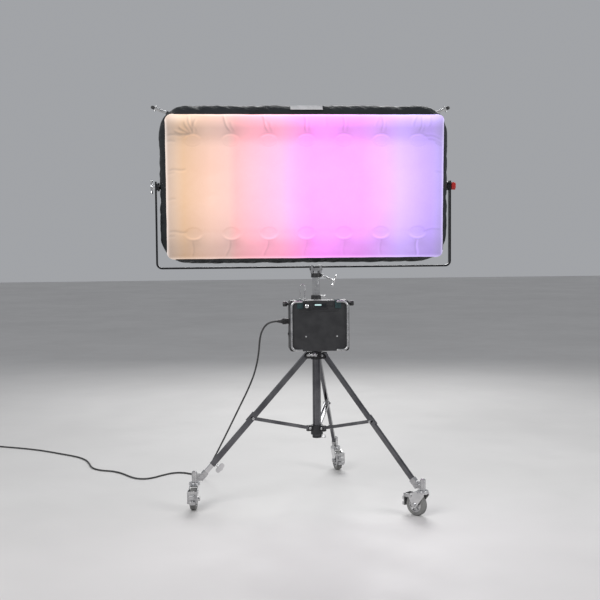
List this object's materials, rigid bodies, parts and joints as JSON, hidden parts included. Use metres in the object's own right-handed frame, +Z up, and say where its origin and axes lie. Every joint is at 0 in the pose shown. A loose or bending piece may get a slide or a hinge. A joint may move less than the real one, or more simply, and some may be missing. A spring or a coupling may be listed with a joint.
{
  "type": "inflatable LED softbox on a rolling stand",
  "caption": "Wide inflatable LED softbox on a yoke, on a folding three-legged rolling stand with a clamped control box and mains lead.",
  "frame": {"origin": "on the floor, on the mast's axis", "axes": "+Z up, the lit face looks along -Y, +X to the right as seen from the lit side"},
  "size_m": [2.6333, 1.8725, 1.8773],
  "materials": {
    "lit_cloth": "white translucent ripstop, lit from behind",
    "tuft_weld": "white woven tape welded to the cloth",
    "black_nylon": "black coated nylon",
    "mat_cloth": "white printed flexible circuit cloth",
    "led_tape": "phosphor-covered LED tape",
    "black_frame": "black anodised aluminium",
    "valve_plastic": "black moulded plastic",
    "dark_chrome": "dark polished stand steel",
    "bright_chrome": "bright plated steel",
    "black_casting": "black powder-coated casting",
    "bright_zinc": "satin plated casting",
    "red_knob": "red moulded plastic",
    "tyre_rubber": "dark grey rubber",
    "box_black": "black powder-coated sheet",
    "lead_rubber": "black rubber lead"
  },
  "bodies": {
    "stand": {"outer_column": "dark_chrome", "column_head": "black_casting", "lower_hub": "black_casting", "box_case": "box_black", "box_front": "box_black", "box_guards": "bright_zinc", "box_clamp": "black_casting", "power_inlet": "valve_plastic", "power_connector": "valve_plastic", "power_cord": "lead_rubber", "cord_coil": "lead_rubber", "plug": "lead_rubber"},
    "riser": {"riser_tube": "bright_chrome", "top_receiver": "black_casting"},
    "yoke": {"yoke_bar": "black_frame", "yoke_bracket": "bright_zinc", "yoke_spigot": "bright_chrome"},
    "head": {"front_diffuser": "lit_cloth", "tuft_ties": "tuft_weld", "side_bladder": "black_nylon", "led_mat": "mat_cloth", "led_strips": "led_tape", "rear_cover": "black_nylon", "frame_hub": "black_frame", "frame_arms": "bright_zinc", "pivot_crossbar": "black_frame", "pivot_plates": "black_frame", "air_valve": "valve_plastic"},
    "tilt_lock": {"tilt_handle": "bright_chrome"},
    "tilt_lock_right": {"tilt_knob": "red_knob"},
    "receiver_lock": {"receiver_handle": "bright_chrome"},
    "column_lock": {"column_handle": "bright_chrome"},
    "collar": {"leg_collar": "black_casting"},
    "collar_lock": {"collar_handle": "bright_chrome"},
    "clamp_lock": {"box_clamp_handle": "bright_chrome"},
    "dial": {"menu_dial": "valve_plastic"},
    "switch": {"power_switch": "valve_plastic"},
    "right_leg": {"leg_right": "dark_chrome", "caster_socket_right": "bright_zinc"},
    "rear_leg": {"leg_rear": "dark_chrome", "caster_socket_rear": "bright_zinc"},
    "left_leg": {"leg_left": "dark_chrome"},
    "left_leg_slide": {"levelling_leg": "bright_chrome", "caster_socket_left": "bright_zinc"},
    "levelling_lock": {"levelling_handle": "bright_chrome"},
    "right_brace": {"brace_right": "dark_chrome"},
    "rear_brace": {"brace_rear": "dark_chrome"},
    "left_brace": {"brace_left": "dark_chrome"},
    "right_caster": {"fork_right": "bright_chrome"},
    "right_wheel": {"wheel_right": "bright_zinc", "tyre_right": "tyre_rubber"},
    "right_pedal": {"pedal_right": "bright_zinc"},
    "rear_caster": {"fork_rear": "bright_chrome"},
    "rear_wheel": {"wheel_rear": "bright_zinc", "tyre_rear": "tyre_rubber"},
    "rear_pedal": {"pedal_rear": "bright_zinc"},
    "left_caster": {"fork_left": "bright_chrome"},
    "left_wheel": {"wheel_left": "bright_zinc", "tyre_left": "tyre_rubber"},
    "left_pedal": {"pedal_left": "bright_zinc"}
  },
  "joints": [
    {"name": "riser_slide", "type": "slide", "parent": "stand", "child": "riser", "axis": [0, 0, 1], "range_m": [-0.08, 0.45]},
    {"name": "yoke_pan", "type": "hinge", "parent": "riser", "child": "yoke", "pos_m": [0, 0, 1.04], "axis": [0, 0, 1], "continuous": true},
    {"name": "head_tilt", "type": "hinge", "parent": "yoke", "child": "head", "pos_m": [-0.0515, 0, 1.485], "axis": [1, 0, 0], "range_deg": [-90, 85]},
    {"name": "tilt_handle_turn", "type": "hinge", "parent": "yoke", "child": "tilt_lock", "pos_m": [-0.7565, 0, 1.485], "axis": [-1, 0, 0], "range_deg": [0, 270]},
    {"name": "tilt_knob_turn", "type": "hinge", "parent": "yoke", "child": "tilt_lock_right", "pos_m": [0.6535, 0, 1.485], "axis": [1, 0, 0], "range_deg": [0, 270]},
    {"name": "receiver_handle_turn", "type": "hinge", "parent": "riser", "child": "receiver_lock", "pos_m": [0.0279, -0.00489, 1.0625], "axis": [0.9129, -0.161, -0.375], "range_deg": [0, 180]},
    {"name": "column_handle_turn", "type": "hinge", "parent": "stand", "child": "column_lock", "pos_m": [0.015, 0.02598, 0.961], "axis": [0.5, 0.866, 0], "range_deg": [0, 180]},
    {"name": "collar_slide", "type": "slide", "parent": "stand", "child": "collar", "axis": [0, 0, 1], "range_m": [0, 0.15]},
    {"name": "collar_handle_turn", "type": "hinge", "parent": "collar", "child": "collar_lock", "pos_m": [-0.01011, -0.02503, 0.688], "axis": [-0.3746, -0.9272, 0], "range_deg": [0, 180]},
    {"name": "clamp_handle_turn", "type": "hinge", "parent": "stand", "child": "clamp_lock", "pos_m": [0, 0.03, 0.91], "axis": [0, 1, 0], "range_deg": [0, 180]},
    {"name": "dial_turn", "type": "hinge", "parent": "stand", "child": "dial", "pos_m": [-0.064, -0.206, 0.932], "axis": [0, -1, 0], "continuous": true},
    {"name": "switch_rock", "type": "hinge", "parent": "stand", "child": "switch", "pos_m": [-0.136, -0.15, 0.8], "axis": [0, 1, 0], "range_deg": [-8, 8]},
    {"name": "right_leg_hinge", "type": "hinge", "parent": "collar", "child": "right_leg", "pos_m": [0.03535, -0.03535, 0.685], "axis": [0.7071, 0.7071, 0], "range_deg": [-0.5, 9.9]},
    {"name": "right_brace_hinge", "type": "hinge", "parent": "stand", "child": "right_brace", "pos_m": [0.02828, -0.02828, 0.333], "axis": [0.7071, 0.7071, 0], "range_deg": [-24.2, 0.5]},
    {"name": "rear_leg_hinge", "type": "hinge", "parent": "collar", "child": "rear_leg", "pos_m": [0.01294, 0.0483, 0.685], "axis": [-0.9659, 0.2588, 0], "range_deg": [-0.5, 9.9]},
    {"name": "rear_brace_hinge", "type": "hinge", "parent": "stand", "child": "rear_brace", "pos_m": [0.01035, 0.03864, 0.333], "axis": [-0.9659, 0.2588, 0], "range_deg": [-24.2, 0.5]},
    {"name": "left_leg_hinge", "type": "hinge", "parent": "collar", "child": "left_leg", "pos_m": [-0.0483, -0.01294, 0.685], "axis": [0.2588, -0.9659, 0], "range_deg": [-0.5, 9.9]},
    {"name": "left_brace_hinge", "type": "hinge", "parent": "stand", "child": "left_brace", "pos_m": [-0.03864, -0.01035, 0.333], "axis": [0.2588, -0.9659, 0], "range_deg": [-24.2, 0.5]},
    {"name": "levelling_slide", "type": "slide", "parent": "left_leg", "child": "left_leg_slide", "axis": [-0.6686, -0.1791, -0.7218], "range_m": [0, 0.25]},
    {"name": "levelling_handle_turn", "type": "hinge", "parent": "left_leg", "child": "levelling_lock", "pos_m": [-0.4872, -0.13054, 0.19384], "axis": [0.6972, 0.1868, -0.6921], "range_deg": [0, 180]},
    {"name": "right_swivel", "type": "hinge", "parent": "right_leg", "child": "right_caster", "pos_m": [0.42921, -0.42921, 0.115], "axis": [0, 0, 1], "continuous": true},
    {"name": "right_wheel_spin", "type": "hinge", "parent": "right_caster", "child": "right_wheel", "pos_m": [0.40719, -0.40201, 0.05], "axis": [-0.7771, -0.6293, 0], "continuous": true},
    {"name": "right_pedal_press", "type": "hinge", "parent": "right_caster", "child": "right_pedal", "pos_m": [0.39271, -0.38414, 0.088], "axis": [-0.7771, -0.6293, 0], "range_deg": [-12, 0]},
    {"name": "rear_swivel", "type": "hinge", "parent": "rear_leg", "child": "rear_caster", "pos_m": [0.1571, 0.58632, 0.115], "axis": [0, 0, 1], "continuous": true},
    {"name": "rear_wheel_spin", "type": "hinge", "parent": "rear_caster", "child": "rear_wheel", "pos_m": [0.16318, 0.55185, 0.05], "axis": [0.9848, 0.1736, 0], "continuous": true},
    {"name": "rear_pedal_press", "type": "hinge", "parent": "rear_caster", "child": "rear_pedal", "pos_m": [0.16717, 0.5292, 0.088], "axis": [0.9848, 0.1736, 0], "range_deg": [-12, 0]},
    {"name": "left_swivel", "type": "hinge", "parent": "left_leg_slide", "child": "left_caster", "pos_m": [-0.58632, -0.1571, 0.115], "axis": [0, 0, 1], "continuous": true},
    {"name": "left_wheel_spin", "type": "hinge", "parent": "left_caster", "child": "left_wheel", "pos_m": [-0.58998, -0.19191, 0.05], "axis": [0.9945, -0.1045, 0], "continuous": true},
    {"name": "left_pedal_press", "type": "hinge", "parent": "left_caster", "child": "left_pedal", "pos_m": [-0.59238, -0.21479, 0.088], "axis": [0.9945, -0.1045, 0], "range_deg": [-12, 0]}
  ],
  "couplings": [
    {"joint": "right_leg_hinge", "follows": "collar_slide", "rad_per_m": 1.0881},
    {"joint": "right_brace_hinge", "follows": "collar_slide", "rad_per_m": -2.7586},
    {"joint": "rear_leg_hinge", "follows": "collar_slide", "rad_per_m": 1.0881},
    {"joint": "rear_brace_hinge", "follows": "collar_slide", "rad_per_m": -2.7586},
    {"joint": "left_leg_hinge", "follows": "collar_slide", "rad_per_m": 1.0881},
    {"joint": "left_brace_hinge", "follows": "collar_slide", "rad_per_m": -2.7586}
  ]
}
